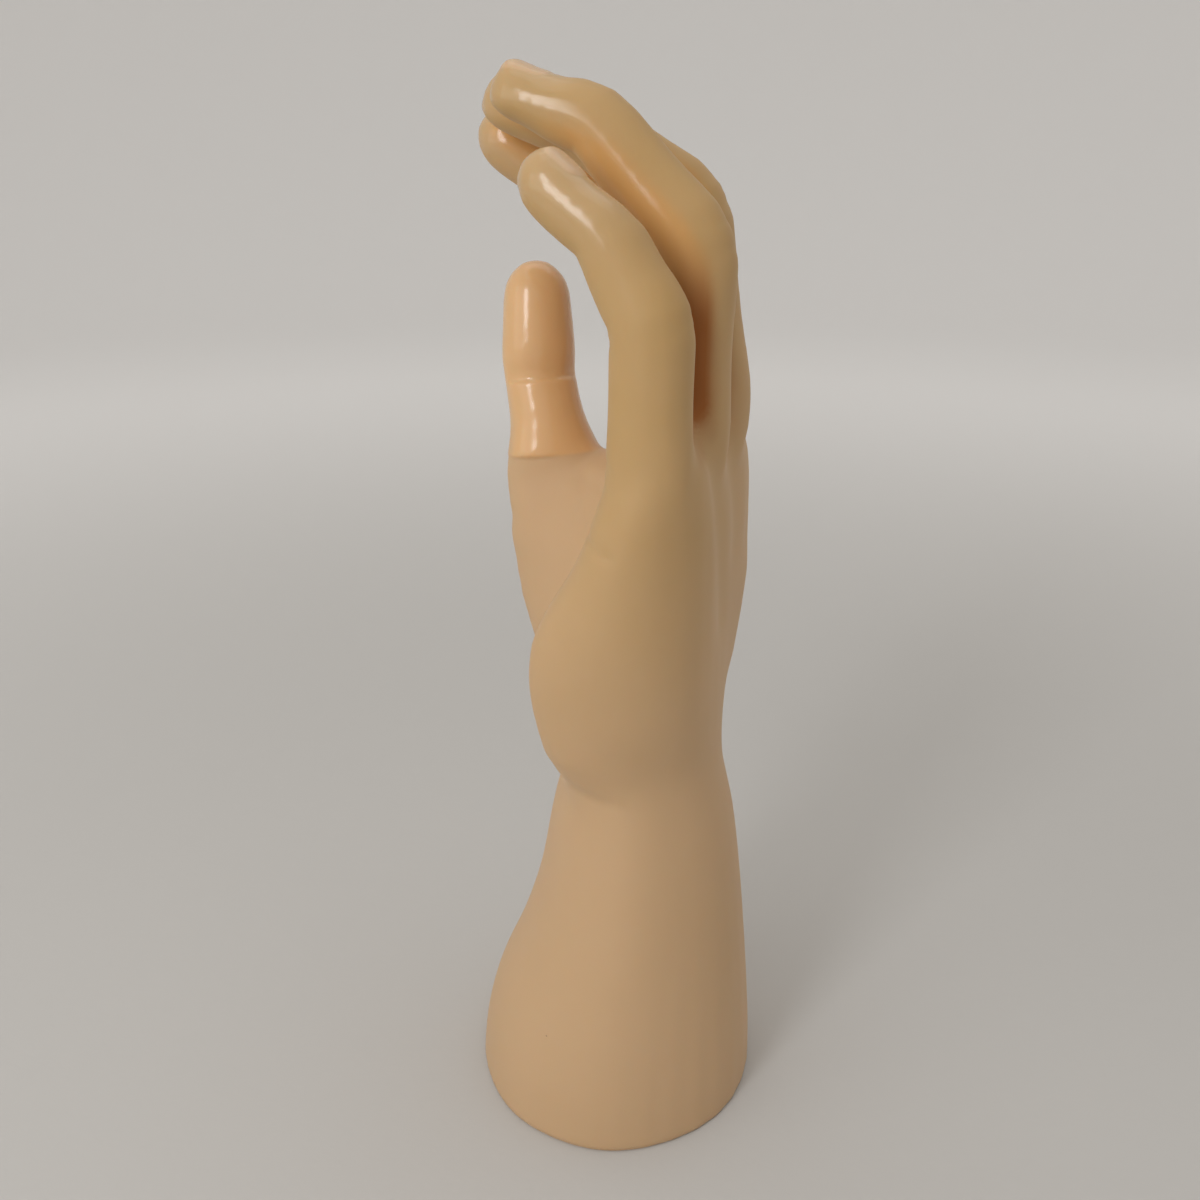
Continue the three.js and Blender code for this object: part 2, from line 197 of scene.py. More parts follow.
@dataclass(frozen=True)
class Digit:
    """A finger or the thumb: its joints from the knuckle to the tip, in millimetres."""

    name: str
    joints: tuple[Point, ...]
    back: Point
    girth: float
    nail: Nail
    gloss_from: float = 0.0

    def bone(self, index: int) -> Frame:
        """The frame at the start of a bone.

        Args:
            index: the bone, counted from the knuckle.

        Returns:
            The frame, which looks along the bone.
        """
        start, end = (np.array(self.joints[i]) for i in (index, index + 1))
        return self._frame(start, unit(end - start))

    def last_bone(self) -> Frame:
        """The frame at the start of the last bone."""
        return self.bone(len(self.joints) - 2)

    def joint(self, index: int) -> Frame:
        """The frame at a joint, half way between the bones that meet there.

        Args:
            index: the joint, counted from the knuckle.

        Returns:
            The frame, which looks along the finger.
        """
        here, after = (np.array(self.joints[i]) for i in (index, index + 1))
        before = np.array(self.joints[index - 1]) if index else here - np.array([0, 0, 1.0])
        return self._frame(here, unit(unit(here - before) + unit(after - here)))

    def outside(self, points: np.ndarray) -> np.ndarray:
        """How far points lie outside the digit's usual girth.

        Args:
            points: places in the scene, in metres.

        Returns:
            The distances, in millimetres, less than zero inside.
        """
        return path_distance(points / MM, np.array(self.joints)) - self.girth

    def _frame(self, origin: np.ndarray, along: np.ndarray) -> Frame:
        """A frame with the finger's back square to a direction."""
        across = unit(np.cross(np.array(self.back), along))
        return Frame(origin * MM, along, across, np.cross(along, across))


def finger_back(turn: float) -> Point:
    """The back of a finger whose bend is turned towards the thumb by some degrees."""
    angle = math.radians(turn)
    return (math.cos(angle), -math.sin(angle), 1.0)


DIGITS: tuple[Digit, ...] = (
    Digit(
        "little",
        ((6.5, -31.6, 171.9), (5.7, -31.7, 208.3), (-3.6, -27.9, 226.2), (-19.8, -21.4, 240.1)),
        finger_back(22), 9.1, Nail(9.9, 20.2, 4.7, 6.8),
    ),
    Digit(
        "ring",
        ((15.2, -12.4, 179.6), (15.3, -12.5, 222.1), (-5.8, -5.7, 248.0), (-29.3, 2.0, 254.5)),
        finger_back(18), 9.5, Nail(11.4, 23.2, 5.0, 7.3), 7.0,
    ),
    Digit(
        "middle",
        ((21.9, 7.4, 184.7), (15.5, 9.1, 229.1), (-9.0, 14.8, 248.4), (-31.8, 20.0, 253.0)),
        finger_back(13), 9.7, Nail(10.6, 21.6, 5.1, 7.4),
    ),
    Digit(
        "index",
        ((23.0, 26.7, 175.9), (8.1, 29.2, 212.4), (-12.6, 32.1, 235.7), (-33.8, 35.1, 249.0)),
        finger_back(8), 9.5, Nail(11.1, 22.8, 5.0, 7.2),
    ),
    Digit(
        "thumb",
        ((-16.3, 33.9, 162.0), (-20.4, 37.5, 187.4), (-21.2, 41.5, 216.0)),
        (-0.25, 1.0, 0.0), 9.5, Nail(12.7, 26.0, 6.2, 8.4),
    ),
)
FINGERS, THUMB = DIGITS[:-1], DIGITS[-1]


def digit_named(name: str) -> Digit:
    """The digit of that name."""
    return next(digit for digit in DIGITS if digit.name == name)


@dataclass(frozen=True)
class Crease:
    """A fold across a finger at a joint, in millimetres."""

    digit: str
    joint: int
    side: Side
    depth: float
    width: float
    shift: float = 0.0
    facing: tuple[float, float] = (0.5, 0.9)
    spread: float = 0.0


CREASES: tuple[Crease, ...] = (
    *(Crease(f.name, 1, Side.PALM, 0.22, 1.2, shift) for f in FINGERS for shift in (-1.5, 1.5)),
    *(Crease(f.name, 2, Side.PALM, 0.2, 1.1) for f in FINGERS),
    *(Crease(f.name, 0, Side.PALM, 0.25, 1.4, 7.0) for f in FINGERS),
    *(Crease(f.name, 1, Side.BACK, 0.12, 1.1, shift) for f in FINGERS for shift in (-2.8, 0.0, 2.8)),
    *(Crease(f.name, 2, Side.BACK, 0.06, 0.9, shift) for f in FINGERS for shift in (-1.2, 1.2)),
    Crease("thumb", 1, Side.PALM, 0.9, 0.7, -1.4, (0.05, 0.6), 4.5),
    Crease("thumb", 0, Side.PALM, 0.2, 0.9, 4.8, (0.05, 0.6)),
    Crease("thumb", 1, Side.BACK, 0.18, 1.0, -1.8),
    Crease("thumb", 1, Side.BACK, 0.18, 1.0, 1.8),
)


@dataclass(frozen=True)
class Groove:
    """A soft line pressed into the hand, drawn as seen from one side, in millimetres."""

    side: Point
    path: tuple[Point, ...]
    depth: float
    width: float
    reach: float = 16.0

    def press(self, points: np.ndarray, normals: np.ndarray) -> np.ndarray:
        """The groove's depth at each point.

        Args:
            points: places on the skin, in metres.
            normals: the directions they face.

        Returns:
            The depths, in millimetres.
        """
        side = np.array(self.side)
        flat = points / MM - np.outer(points @ side / MM, side)
        path = np.array(self.path)
        level = path @ side
        nearest = path_distance(flat, path - np.outer(level, side))
        close = ease(self.reach, self.reach * 0.6, np.abs(points @ side / MM - level.mean()))
        return self.depth * bell(nearest, self.width) * close * ease(0.2, 0.6, normals @ side)


PALM: Point = (-1.0, 0.0, 0.0)
BACK: Point = (1.0, 0.0, 0.0)
EDGE: Point = (0.0, -1.0, 0.0)

GROOVES: tuple[Groove, ...] = (
    Groove(
        PALM,
        ((-6, 27, 166), (-6, 17, 160), (-6, 8, 148), (-6, 4, 132), (-6, 3, 116), (-6, 4, 104)),
        0.4, 1.1,
    ),
    Groove(
        PALM,
        ((-6, 26, 165), (-6, 12, 161), (-6, -4, 156), (-6, -20, 146), (-6, -27, 139)),
        0.4, 1.1,
    ),
    Groove(
        PALM,
        ((-6, -40, 160), (-6, -26, 164), (-6, -12, 168), (-6, 2, 175), (-6, 8, 183)),
        0.4, 1.1,
    ),
    Groove(BACK, ((19, -22, 179), (21, -20, 166), (22, -17, 150), (22, -14, 138)), 0.9, 5.5),
    Groove(BACK, ((25, -2.5, 182), (28, -1.5, 166), (28, -1, 152)), 0.7, 5.5),
    Groove(BACK, ((30, 17.5, 178), (33, 15, 164), (32, 12, 150)), 0.7, 5.5),
    Groove(
        EDGE,
        ((-19, -20, 106), (-14.7, -24, 98.4), (-10, -28, 94.8), (-3, -30, 93.6)),
        0.35, 2.4, 22.0,
    ),
)


@dataclass(frozen=True)
class Taper:
    """A fingertip slimmed on one side, in millimetres along its last bone."""

    digit: str
    share: float
    way: Point
    rise: tuple[float, float]
    fall: tuple[float, float] = (60.0, 50.0)
    short: float = 0.0
    core_depth: float = 5.0
    soft: float = 3.0

    def moves(self, points: np.ndarray, normals: np.ndarray) -> np.ndarray:
        """How the skin is drawn in: one side closer to the bone, and the end a little shorter.

        Args:
            points: places on the skin, in metres.
            normals: the directions they face.

        Returns:
            The moves, in metres.
        """
        digit = digit_named(self.digit)
        core = points / MM - normals * self.core_depth
        away = {d.name: path_distance(core, np.array(d.joints[-2:])) for d in DIGITS}
        own = away.pop(self.digit)
        mine = own < np.min(list(away.values()), axis=0)
        mine = mine * ease(digit.girth * 1.2, digit.girth * 0.9, own)
        frame = digit.last_bone()
        place, _, _ = frame.local(points)
        end = np.linalg.norm(np.subtract(digit.joints[-1], digit.joints[-2]))
        way = np.array(self.way)
        way = unit(way - frame.along * (frame.along @ way))
        side = np.maximum((points - frame.origin) @ way, 0.0)
        side = side**2 / (side + self.soft * MM)
        inward = side * self.share * ease(*self.rise, place) * ease(*self.fall, place) * mine
        back = self.short * MM * ease(end * 0.4, end, place) * mine
        return -np.outer(inward, way) - np.outer(back, frame.along)


TAPERS: tuple[Taper, ...] = (
    Taper("ring", 0.53, (-0.5, 0, -0.85), (2.0, 18.0), short=1.2),
    Taper("middle", 0.32, (-0.1, 0, -1.0), (2.0, 18.0)),
    Taper("little", 0.17, (0.5, 0.3, 0.8), (-8.0, 2.0), (18.0, 8.0)),
)


@dataclass(frozen=True)
class Swell:
    """A soft rise or dip of the skin round a place, in millimetres."""

    centre: Point
    radius: float
    height: float
    fold: float = 99.0

    def press(self, points: np.ndarray, normals: np.ndarray) -> np.ndarray:
        """How far the skin is drawn in at each point, up to the fold at the thumb's root.

        Args:
            points: places on the skin, in metres.
            normals: the directions they face, which don't matter here.

        Returns:
            The depths, in millimetres.
        """
        away = np.linalg.norm(points / MM - np.array(self.centre), axis=1)
        along, _, _ = THUMB.joint(0).local(points)
        return -self.height * bell(away, self.radius) * ease(self.fold + 0.5, self.fold - 0.5, along)


SWELLS: tuple[Swell, ...] = (
    Swell((-26.5, 27.0, 149.5), 9.0, 1.6),
    Swell((-23.5, 24.5, 162.0), 8.0, -1.5, 4.8),
)


class Surface:
    """A mesh's points and edges as arrays, for smoothing and carving."""

    def __init__(self, mesh: bpy.types.Mesh) -> None:
        """Reads a mesh.

        Args:
            mesh: the mesh to work on.
        """
        self.mesh = mesh
        self.points = self._read(mesh.vertices, "co", 3)
        edges = np.zeros(len(mesh.edges) * 2, np.int64)
        mesh.edges.foreach_get("vertices", edges)
        pairs = edges.reshape(-1, 2)
        self.starts = np.concatenate([pairs[:, 0], pairs[:, 1]])
        self.ends = np.concatenate([pairs[:, 1], pairs[:, 0]])
        self.counts = np.bincount(self.starts, minlength=len(self.points))

    @staticmethod
    def _read(items: Any, name: str, width: int) -> np.ndarray:
        """Values of one property of all items, as rows."""
        values = np.zeros(len(items) * width, np.float32)
        items.foreach_get(name, values)
        return values.reshape(-1, width).astype(float)

    def normals(self) -> np.ndarray:
        """The directions that the points face."""
        self.store()
        return self._read(self.mesh.vertex_normals, "vector", 3)

    def store(self) -> None:
        """Writes the points back to the mesh."""
        self.mesh.vertices.foreach_set("co", self.points.astype(np.float32).ravel())
        self.mesh.update()

    def average(self, values: np.ndarray) -> np.ndarray:
        """The mean of each point's neighbours.

        Args:
            values: one row for each point.

        Returns:
            The means, one row for each point.
        """
        total = len(self.points)
        sums = [np.bincount(self.starts, column[self.ends], total) for column in values.T]
        return np.stack(sums, axis=1) / self.counts[:, None]

    def smooth(self, rounds: int, weight: np.ndarray | float = 1.0) -> None:
        """Takes out ripples and keeps the size.

        Args:
            rounds: how many times to pull in and push back.
            weight: share of the smoothing at each point.
        """
        share = np.broadcast_to(weight, len(self.points))[:, None]
        for _ in range(rounds):
            for step in SMOOTH_STEPS:
                self.points += step * share * (self.average(self.points) - self.points)

    def fill(self, rounds: int, weight: np.ndarray) -> None:
        """Fills hollow corners with a soft round and leaves crests alone.

        Args:
            rounds: how many times to fill.
            weight: share of the filling at each point.
        """
        for _ in range(rounds):
            normals = self.normals()
            lift = self.average(self.points) - self.points
            height = np.maximum(np.einsum("ij,ij->i", lift, normals), 0.0)
            self.points += normals * (height * weight)[:, None]

    def closeness(self, rays: int, reach: float, above: float) -> np.ndarray:
        """How much of each point's outlook is shut off by other skin close by.

        Args:
            rays: how many ways to look from each point.
            reach: how far to look, in metres.
            above: height under which points are left open, in metres.

        Returns:
            The shares that are shut off, from 0 to 1.
        """
        normals = self.normals()
        tree = BVHTree.FromPolygons(self.points, [list(f.vertices) for f in self.mesh.polygons])
        turn = math.pi * (3 - math.sqrt(5))
        rise = np.sqrt(1 - (np.arange(rays) + 0.5) / rays)
        ring = np.sqrt(1 - rise**2)
        shut = np.zeros(len(self.points))
        for i in np.flatnonzero(self.points[:, 2] > above):
            normal = Vector(normals[i])
            aside = normal.orthogonal().normalized()
            third = normal.cross(aside)
            start = Vector(self.points[i]) + normal * (0.3 * MM)
            for k in range(rays):
                round_normal = aside * math.cos(k * turn) + third * math.sin(k * turn)
                way = normal * rise[k] + round_normal * ring[k]
                shut[i] += tree.ray_cast(start, way, reach)[0] is not None
        for _ in range(4):
            shut = self.average(shut[:, None])[:, 0]
        return shut / rays

    def keep(self, name: str, values: np.ndarray) -> None:
        """Stores a value for each point for use in a material.

        Args:
            name: the attribute's name.
            values: one value for each point.
        """
        attribute = self.mesh.attributes.new(name, "FLOAT", "POINT")
        attribute.data.foreach_set("value", values.astype(np.float32))


@dataclass(frozen=True)
class Wire:
    """A node's output that can be used in sums like a number."""

    sheet: "Sheet"
    socket: bpy.types.NodeSocket

    def __add__(self, other: Value) -> Wire:
        """This plus another value."""
        return self.sheet.math("ADD", self, other)

    def __radd__(self, other: Value) -> Wire:
        """Another value plus this."""
        return self.sheet.math("ADD", other, self)

    def __sub__(self, other: Value) -> Wire:
        """This less another value."""
        return self.sheet.math("SUBTRACT", self, other)

    def __rsub__(self, other: Value) -> Wire:
        """Another value less this."""
        return self.sheet.math("SUBTRACT", other, self)

    def __mul__(self, other: Value) -> Wire:
        """This times another value."""
        return self.sheet.math("MULTIPLY", self, other)

    def __rmul__(self, other: Value) -> Wire:
        """Another value times this."""
        return self.sheet.math("MULTIPLY", other, self)

    def __gt__(self, other: Value) -> Wire:
        """One where this is over another value."""
        return self.sheet.math("GREATER_THAN", self, other)

    def __lt__(self, other: Value) -> Wire:
        """One where this is under another value."""
        return self.sheet.math("LESS_THAN", self, other)


Value = Wire | float


class Sheet:
    """A material and the nodes on it."""

    def __init__(self, name: str) -> None:
        """Makes an empty material.

        Args:
            name: the material's name.
        """
        self.material = bpy.data.materials.new(name)
        self.material.use_nodes = True
        self.tree = self.material.node_tree
        self.tree.nodes.clear()

    def node(self, kind: str, inputs: dict[str | int, Any], **settings: Any) -> bpy.types.Node:
        """Makes a node.

        Args:
            kind: the node's type, without its shader prefix.
            inputs: a wire or a plain value for each input.
            settings: the node's own settings.

        Returns:
            The node.
        """
        made = self.tree.nodes.new("ShaderNode" + kind)
        for name, value in settings.items():
            setattr(made, name, value)
        for key, value in inputs.items():
            if isinstance(value, Wire):
                self.tree.links.new(value.socket, made.inputs[key])
            elif isinstance(value, tuple) and made.inputs[key].type == "RGBA":
                made.inputs[key].default_value = (*value, 1.0)
            else:
                made.inputs[key].default_value = value
        return made

    def wire(self, node: bpy.types.Node, output: str | int = 0) -> Wire:
        """One output of a node."""
        return Wire(self, node.outputs[output])

    def math(self, operation: str, first: Value, second: Value) -> Wire:
        """A sum of two values."""
        return self.wire(self.node("Math", {0: first, 1: second}, operation=operation))

    def place(self) -> Wire:
        """The place on the piece, in metres."""
        return self.wire(self.node("TexCoord", {}), "Object")

    def attribute(self, name: str) -> Wire:
        """A value that the mesh holds for each point."""
        return self.wire(self.node("Attribute", {}, attribute_name=name), "Fac")

    def noise(self, scale: float, detail: float = 2.0) -> Wire:
        """Cloudy noise about one half, with so many waves to a metre."""
        inputs = {"Vector": self.place(), "Scale": scale, "Detail": detail}
        return self.wire(self.node("TexNoise", inputs), "Fac")

    def fit(self, value: Wire, low: float, high: float, to: tuple[float, float] = (0.0, 1.0)) -> Wire:
        """A smooth rise of a value between two limits, onto a range."""
        inputs = {"Value": value, "From Min": low, "From Max": high, "To Min": to[0], "To Max": to[1]}
        return self.wire(self.node("MapRange", inputs, interpolation_type="SMOOTHSTEP"))

    def mix(self, share: Value, first: Wire | Colour, second: Wire | Colour) -> Wire:
        """Two colours mixed by a share of the second."""
        inputs = {0: share, 6: first, 7: second}
        return self.wire(self.node("Mix", inputs, data_type="RGBA"), 2)

    def bump(self, height: Wire, strength: float, distance: float, normal: Wire | None = None) -> Wire:
        """A surface roughened by a height, in metres."""
        inputs: dict[str | int, Any] = {"Height": height, "Strength": strength, "Distance": distance}
        if normal is not None:
            inputs["Normal"] = normal
        return self.wire(self.node("Bump", inputs))

    def close(self, inputs: dict[str | int, Any]) -> bpy.types.Material:
        """Ends the sheet with a surface.

        Args:
            inputs: the surface's inputs.

        Returns:
            The finished material.
        """
        surface = self.wire(self.node("BsdfPrincipled", inputs))
        self.node("OutputMaterial", {"Surface": surface})
        return self.material


@dataclass(frozen=True)
class SkinFinish:
    """Cast soft plastic in a tan skin tone: waxy, satin, a little deep."""

    arm_tone: Colour = (0.575, 0.38, 0.21)
    finger_tone: Colour = (0.49, 0.31, 0.125)
    # painted bounce light: a warm orange laid where nearby skin shuts off the outlook, standing in for
    # light passed on between fingers
    gap_shade_tone: Colour = (0.35, 0.12, 0.022)
    # painted shade: a dark brown laid in the gap between the little and the ring finger
    painted_bounce_tone: Colour = (0.62, 0.33, 0.1)
    nail_tone: Colour = (0.66, 0.44, 0.27)
    speck_tone: Colour = (0.14, 0.08, 0.04)
    # painted bounce light: the thumb's tone is brighter and more orange to stand in for light passed on
    # from the palm and fingers and through the plastic
    thumb_bounce_tone: Colour = (0.72, 0.435, 0.2)
    satin: float = 0.62
    shine: float = 0.32
    polish: float = 0.17
    bloom: float = 0.1
    bloom_tone: Colour = (1.0, 0.86, 0.78)
    bloom_spread: float = 0.35
    depth: float = 2.0 * MM
    depth_spread: Colour = (1.0, 0.42, 0.18)
    depth_share: float = 0.2
    hand_heights: tuple[float, float] = (120 * MM, 250 * MM)
    thumb_lean: float = 1.2
    cloud_scale: float = 28.0
    cloud_share: float = 0.16
    nail_share: float = 0.5
    speck_scale: float = 60.0
    speck_size: float = 0.014
    speck_cells: float = 0.86
    speck_share: float = 0.45
    gloss_scale: float = 120.0
    gloss_spread: float = 0.08
    wave_scale: float = 70.0
    wave_height: float = 0.3 * MM
    grain_scale: float = 1500.0
    grain_height: float = 0.05 * MM

    def material(self) -> bpy.types.Material:
        """Makes the material."""
        sheet = Sheet("skin_plastic")
        split = sheet.node("SeparateXYZ", {0: sheet.place()})
        height = sheet.wire(split, 2)
        up_hand = sheet.fit(height - sheet.wire(split, 1) * self.thumb_lean, *self.hand_heights)
        tone = sheet.mix(up_hand, self.arm_tone, self.finger_tone)
        clouds = sheet.fit(sheet.noise(self.cloud_scale, 3.0), 0.3, 0.7, (0.0, self.cloud_share))
        tone = sheet.mix(clouds, tone, self.nail_tone)
        # painted bounce light on the thumb: a brighter, warmer tone from the fold up
        tone = sheet.mix(sheet.attribute("thumb"), tone, self.thumb_bounce_tone)
        # painted bounce light: warm orange where nearby skin shuts off the outlook
        tone = sheet.mix(sheet.attribute("bounce_light"), tone, self.painted_bounce_tone)
        # painted shade: dark brown low in the gap between the little and the ring finger
        tone = sheet.mix(sheet.attribute("hollow"), tone, self.gap_shade_tone)
        tone = sheet.mix(sheet.attribute("nail") * self.nail_share, tone, self.nail_tone)
        cells = sheet.node("TexVoronoi", {"Vector": sheet.place(), "Scale": self.speck_scale})
        draw = sheet.wire(sheet.node("SeparateColor", {0: sheet.wire(cells, "Color")}))
        specks = (sheet.wire(cells, "Distance") < self.speck_size) * (draw > self.speck_cells)
        tone = sheet.mix(specks * self.speck_share, tone, self.speck_tone)
        gloss = self.satin + (sheet.noise(self.gloss_scale, 4.0) - 0.5) * self.gloss_spread
        waves = sheet.bump(sheet.noise(self.wave_scale, 1.0), 0.05, self.wave_height)
        grain = sheet.bump(sheet.noise(self.grain_scale, 2.0), 0.1, self.grain_height, waves)
        return sheet.close({
            "Base Color": tone,
            "Roughness": gloss,
            "Normal": grain,
            "Specular IOR Level": self.shine,
            "Coat Weight": sheet.attribute("polish"),
            "Coat Roughness": self.polish,
            "Sheen Weight": self.bloom,
            "Sheen Tint": self.bloom_tone,
            "Sheen Roughness": self.bloom_spread,
            "Subsurface Weight": self.depth_share,
            "Subsurface Radius": self.depth_spread,
            "Subsurface Scale": self.depth,
        })


@dataclass(frozen=True)
class PlainFinish:
    """A plain material with a little cloudiness and grain."""

    name: str
    tone: Colour
    cloud_tone: Colour
    gloss: float
    metal: float
    grain: float
    grain_scale: float

    def material(self) -> bpy.types.Material:
        """Makes the material."""
        sheet = Sheet(self.name)
        tone = sheet.mix(sheet.fit(sheet.noise(60.0, 4.0), 0.3, 0.7), self.tone, self.cloud_tone)
        gloss = self.gloss + (sheet.noise(220.0, 3.0) - 0.5) * 0.2
        grain = sheet.bump(sheet.noise(self.grain_scale, 4.0), 0.5, self.grain)
        return sheet.close({
            "Base Color": tone, "Roughness": gloss, "Normal": grain, "Metallic": self.metal,
        })


DISC_FINISH = PlainFinish(
    "disc_plastic", (0.46, 0.30, 0.17), (0.50, 0.33, 0.19), 0.55, 0.0, 0.0001, 900.0
)
WEIGHT_FINISH = PlainFinish(
    "cast_weight", (0.045, 0.043, 0.041), (0.075, 0.07, 0.065), 0.62, 0.75, 0.0006, 420.0
)


@dataclass(frozen=True)
class FloorFinish:
    """Pale matte paper with painted shade: greyer round where the hand stands, paler far off."""

    # painted shade: the floor is greyer near the hand and fades to pale paper far off
    near_shade_tone: Colour = (0.54, 0.53, 0.51)
    far_tone: Colour = (0.87, 0.865, 0.855)
    near: float = 0.2
    far: float = 1.2
    gloss: float = 0.85
    grain_scale: float = 400.0

    def material(self) -> bpy.types.Material:
        """Makes the material."""
        sheet = Sheet("studio_floor")
        away = sheet.wire(sheet.node("VectorMath", {0: sheet.place()}, operation="LENGTH"), "Value")
        # painted shade: greyer near the middle of the floor, paler further out
        tone = sheet.mix(sheet.fit(away, self.near, self.far), self.near_shade_tone, self.far_tone)
        grain = sheet.bump(sheet.noise(self.grain_scale, 4.0), 0.5, 0.1 * MM)
        return sheet.close({"Base Color": tone, "Roughness": self.gloss, "Normal": grain})


def new_piece(name: str, mesh: bpy.types.Mesh) -> bpy.types.Object:
    """Puts a mesh in the scene as an object at the origin.

    Args:
        name: the object's name.
        mesh: its mesh.

    Returns:
        The object.
    """
    piece = bpy.data.objects.new(name, mesh)
    bpy.context.scene.collection.objects.link(piece)
    return piece


def merged_copy(node: bpy.types.Object) -> bmesh.types.BMesh:
    """A CAD node's mesh with its loose triangles joined.

    Args:
        node: the CAD node.

    Returns:
        A copy to work on.
    """
    copy = bmesh.new()
    copy.from_mesh(node.data)
    bmesh.ops.remove_doubles(copy, verts=copy.verts[:], dist=0.002 * MM)
    return copy


@dataclass
class Skin:
    """The hollow cast skin: forearm, palm, thumb and fingers in one.

    Lengths are metres where MM is beside them and millimetres elsewhere, pairs are where a change
    starts and ends, and rounds are passes of smoothing.
    """

    node: str = "hand_skin"
    voxel: float = 1.06 * MM
    skirt: float = 9.0 * MM
    near_touch: Point = (13.8, -1.4, 228.2)
    touch_reach: float = 8.0 * MM
    touch_part: float = 0.7 * MM
    facet_rounds: int = 55
    web_rounds: int = 26
    thumb_rounds: int = 30
    arm_rounds: int = 160
    even_rounds: int = 12
    cut_rounds: int = 3
    web_reach: tuple[float, float] = (24.0, 15.0)
    nail_cuts: int = 1
    nail_zone: float = 3.0
    foot_round: float = 1.2
    outlook_rays: int = 12
    outlook: float = 20.0 * MM
    knuckles: float = 150.0 * MM
    # where the painted shade and the painted bounce light between the fingers fall, and how strong they
    # are
    gap_heights: tuple[float, float] = (228.0, 206.0)
    gap_front: tuple[float, float] = (-6.0, 2.0)
    little_side: tuple[float, float] = (-4.0, -14.0)
    gap_shade_shut: tuple[float, float] = (0.0, 0.26)
    bounce_shut: tuple[float, float] = (0.04, 0.3)
    bounce_share: float = 0.8
    finger_gloss: float = 0.85
    joint_gloss: float = 0.03
    finish: SkinFinish = field(default_factory=SkinFinish)

    def build(self, nodes: dict[str, bpy.types.Object]) -> bpy.types.Object:
        """Makes the skin's object.

        Args:
            nodes: the CAD nodes.

        Returns:
            The skin, with its material.
        """
        outside, inside = self._walls(nodes[self.node])
        surface = Surface(self._remeshed(outside))
        surface.smooth(self.facet_rounds)
        surface.fill(self.web_rounds, self._web_weight(surface.points, DIGITS))
        surface.fill(self.thumb_rounds, self._web_weight(surface.points, (THUMB,)))
        surface.smooth(self.arm_rounds, self._arm_weight(surface.points))
        surface.smooth(self.even_rounds)
        surface.store()
        surface = Surface(self._refined(surface.mesh))
        surface.smooth(self.cut_rounds)
        self._carve(surface, Surface(nodes[self.node].data).points)
        surface.store()
        mesh = self._closed(surface.mesh, inside)
        piece = new_piece("skin", mesh)
        mesh.materials.append(self.finish.material())
        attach(piece, "root")
        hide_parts(self.node)
        return piece

    def _walls(self, node: bpy.types.Object) -> tuple[bmesh.types.BMesh, bmesh.types.BMesh]:
        """The outer and the inner wall of the CAD skin, without the rim under the foot.

        Args:
            node: the CAD skin.

        Returns:
            The outer and the inner wall.
        """
        walls = []
        for outer in (True, False):
            copy = merged_copy(node)
            rim = [f for f in copy.faces if all(abs(v.co.z) < 0.01 * MM for v in f.verts)]
            bmesh.ops.delete(copy, geom=rim, context="FACES")
            widest = max(copy.verts, key=lambda v: v.co.length)
            reached = {widest}
            waiting = [widest]
            while waiting:
                for edge in waiting.pop().link_edges:
                    for vert in edge.verts:
                        if vert not in reached:
                            reached.add(vert)
                            waiting.append(vert)
            others = [v for v in copy.verts if (v in reached) != outer]
            bmesh.ops.delete(copy, geom=others, context="VERTS")
            walls.append(copy)
        return walls[0], walls[1]

    def _part(self, outside: bmesh.types.BMesh) -> None:
        """Opens the narrowest gap between two fingers a little, so the even mesh can't bridge it.

        Args:
            outside: the outer wall.
        """
        outside.normal_update()
        spot = Vector(self.near_touch) * MM
        for vert in outside.verts:
            share = math.exp(-(((vert.co - spot).length / self.touch_reach) ** 2))
            vert.co.y -= self.touch_part * share * vert.normal.y

    def _remeshed(self, outside: bmesh.types.BMesh) -> bpy.types.Mesh:
        """The outer wall as an even mesh that runs on below the table.

        Args:
            outside: the outer wall, which is used up.

        Returns:
            The mesh.
        """
        self._part(outside)
        rim = [e for e in outside.edges if e.is_boundary]
        lower = bmesh.ops.extrude_edge_only(outside, edges=rim)["geom"]
        moved = [v for v in lower if isinstance(v, bmesh.types.BMVert)]
        bmesh.ops.translate(outside, verts=moved, vec=(0, 0, -self.skirt))
        bmesh.ops.holes_fill(outside, edges=[e for e in outside.edges if e.is_boundary], sides=0)
        bmesh.ops.recalc_face_normals(outside, faces=outside.faces[:])
        rough = bpy.data.meshes.new("skin_rough")
        outside.to_mesh(rough)
        outside.free()
        piece = new_piece("skin_rough", rough)
        remesh = piece.modifiers.new("even", "REMESH")
        remesh.mode = "VOXEL"
        remesh.voxel_size = self.voxel
        shape = piece.evaluated_get(bpy.context.evaluated_depsgraph_get())
        mesh = bpy.data.meshes.new_from_object(shape)
        bpy.data.objects.remove(piece)
        bpy.data.meshes.remove(rough)
        return mesh

    def _web_weight(self, points: np.ndarray, digits: tuple[Digit, ...]) -> np.ndarray:
        """Where hollow corners are filled: round the roots of some digits.

        Args:
            points: places on the skin, in metres.
            digits: the digits.

        Returns:
            The share of filling at each point.
        """
        weight = np.zeros(len(points))
        for digit in digits:
            away = np.linalg.norm(points / MM - np.array(digit.joints[0]), axis=1)
            weight = np.maximum(weight, ease(*self.web_reach, away))
        return weight

    @staticmethod
    def _arm_weight(points: np.ndarray) -> np.ndarray:
        """Where long ripples are taken out too: the forearm and the palm, not the fingers.

        Args:
            points: places on the skin, in metres.

        Returns:
            The share of smoothing at each point.
        """
        by_edge = ease(-20.0, -28.0, points[:, 1] / MM)
        low = ease(178.0, 164.0, points[:, 2] / MM - 16.0 * by_edge)
        thumb = THUMB.bone(0)
        along, across, up = thumb.local(points)
        off_thumb = ease(12.0, 20.0, np.hypot(across, up)) + ease(1.0, -8.0, along)
        return low * np.clip(off_thumb, 0.0, 1.0)

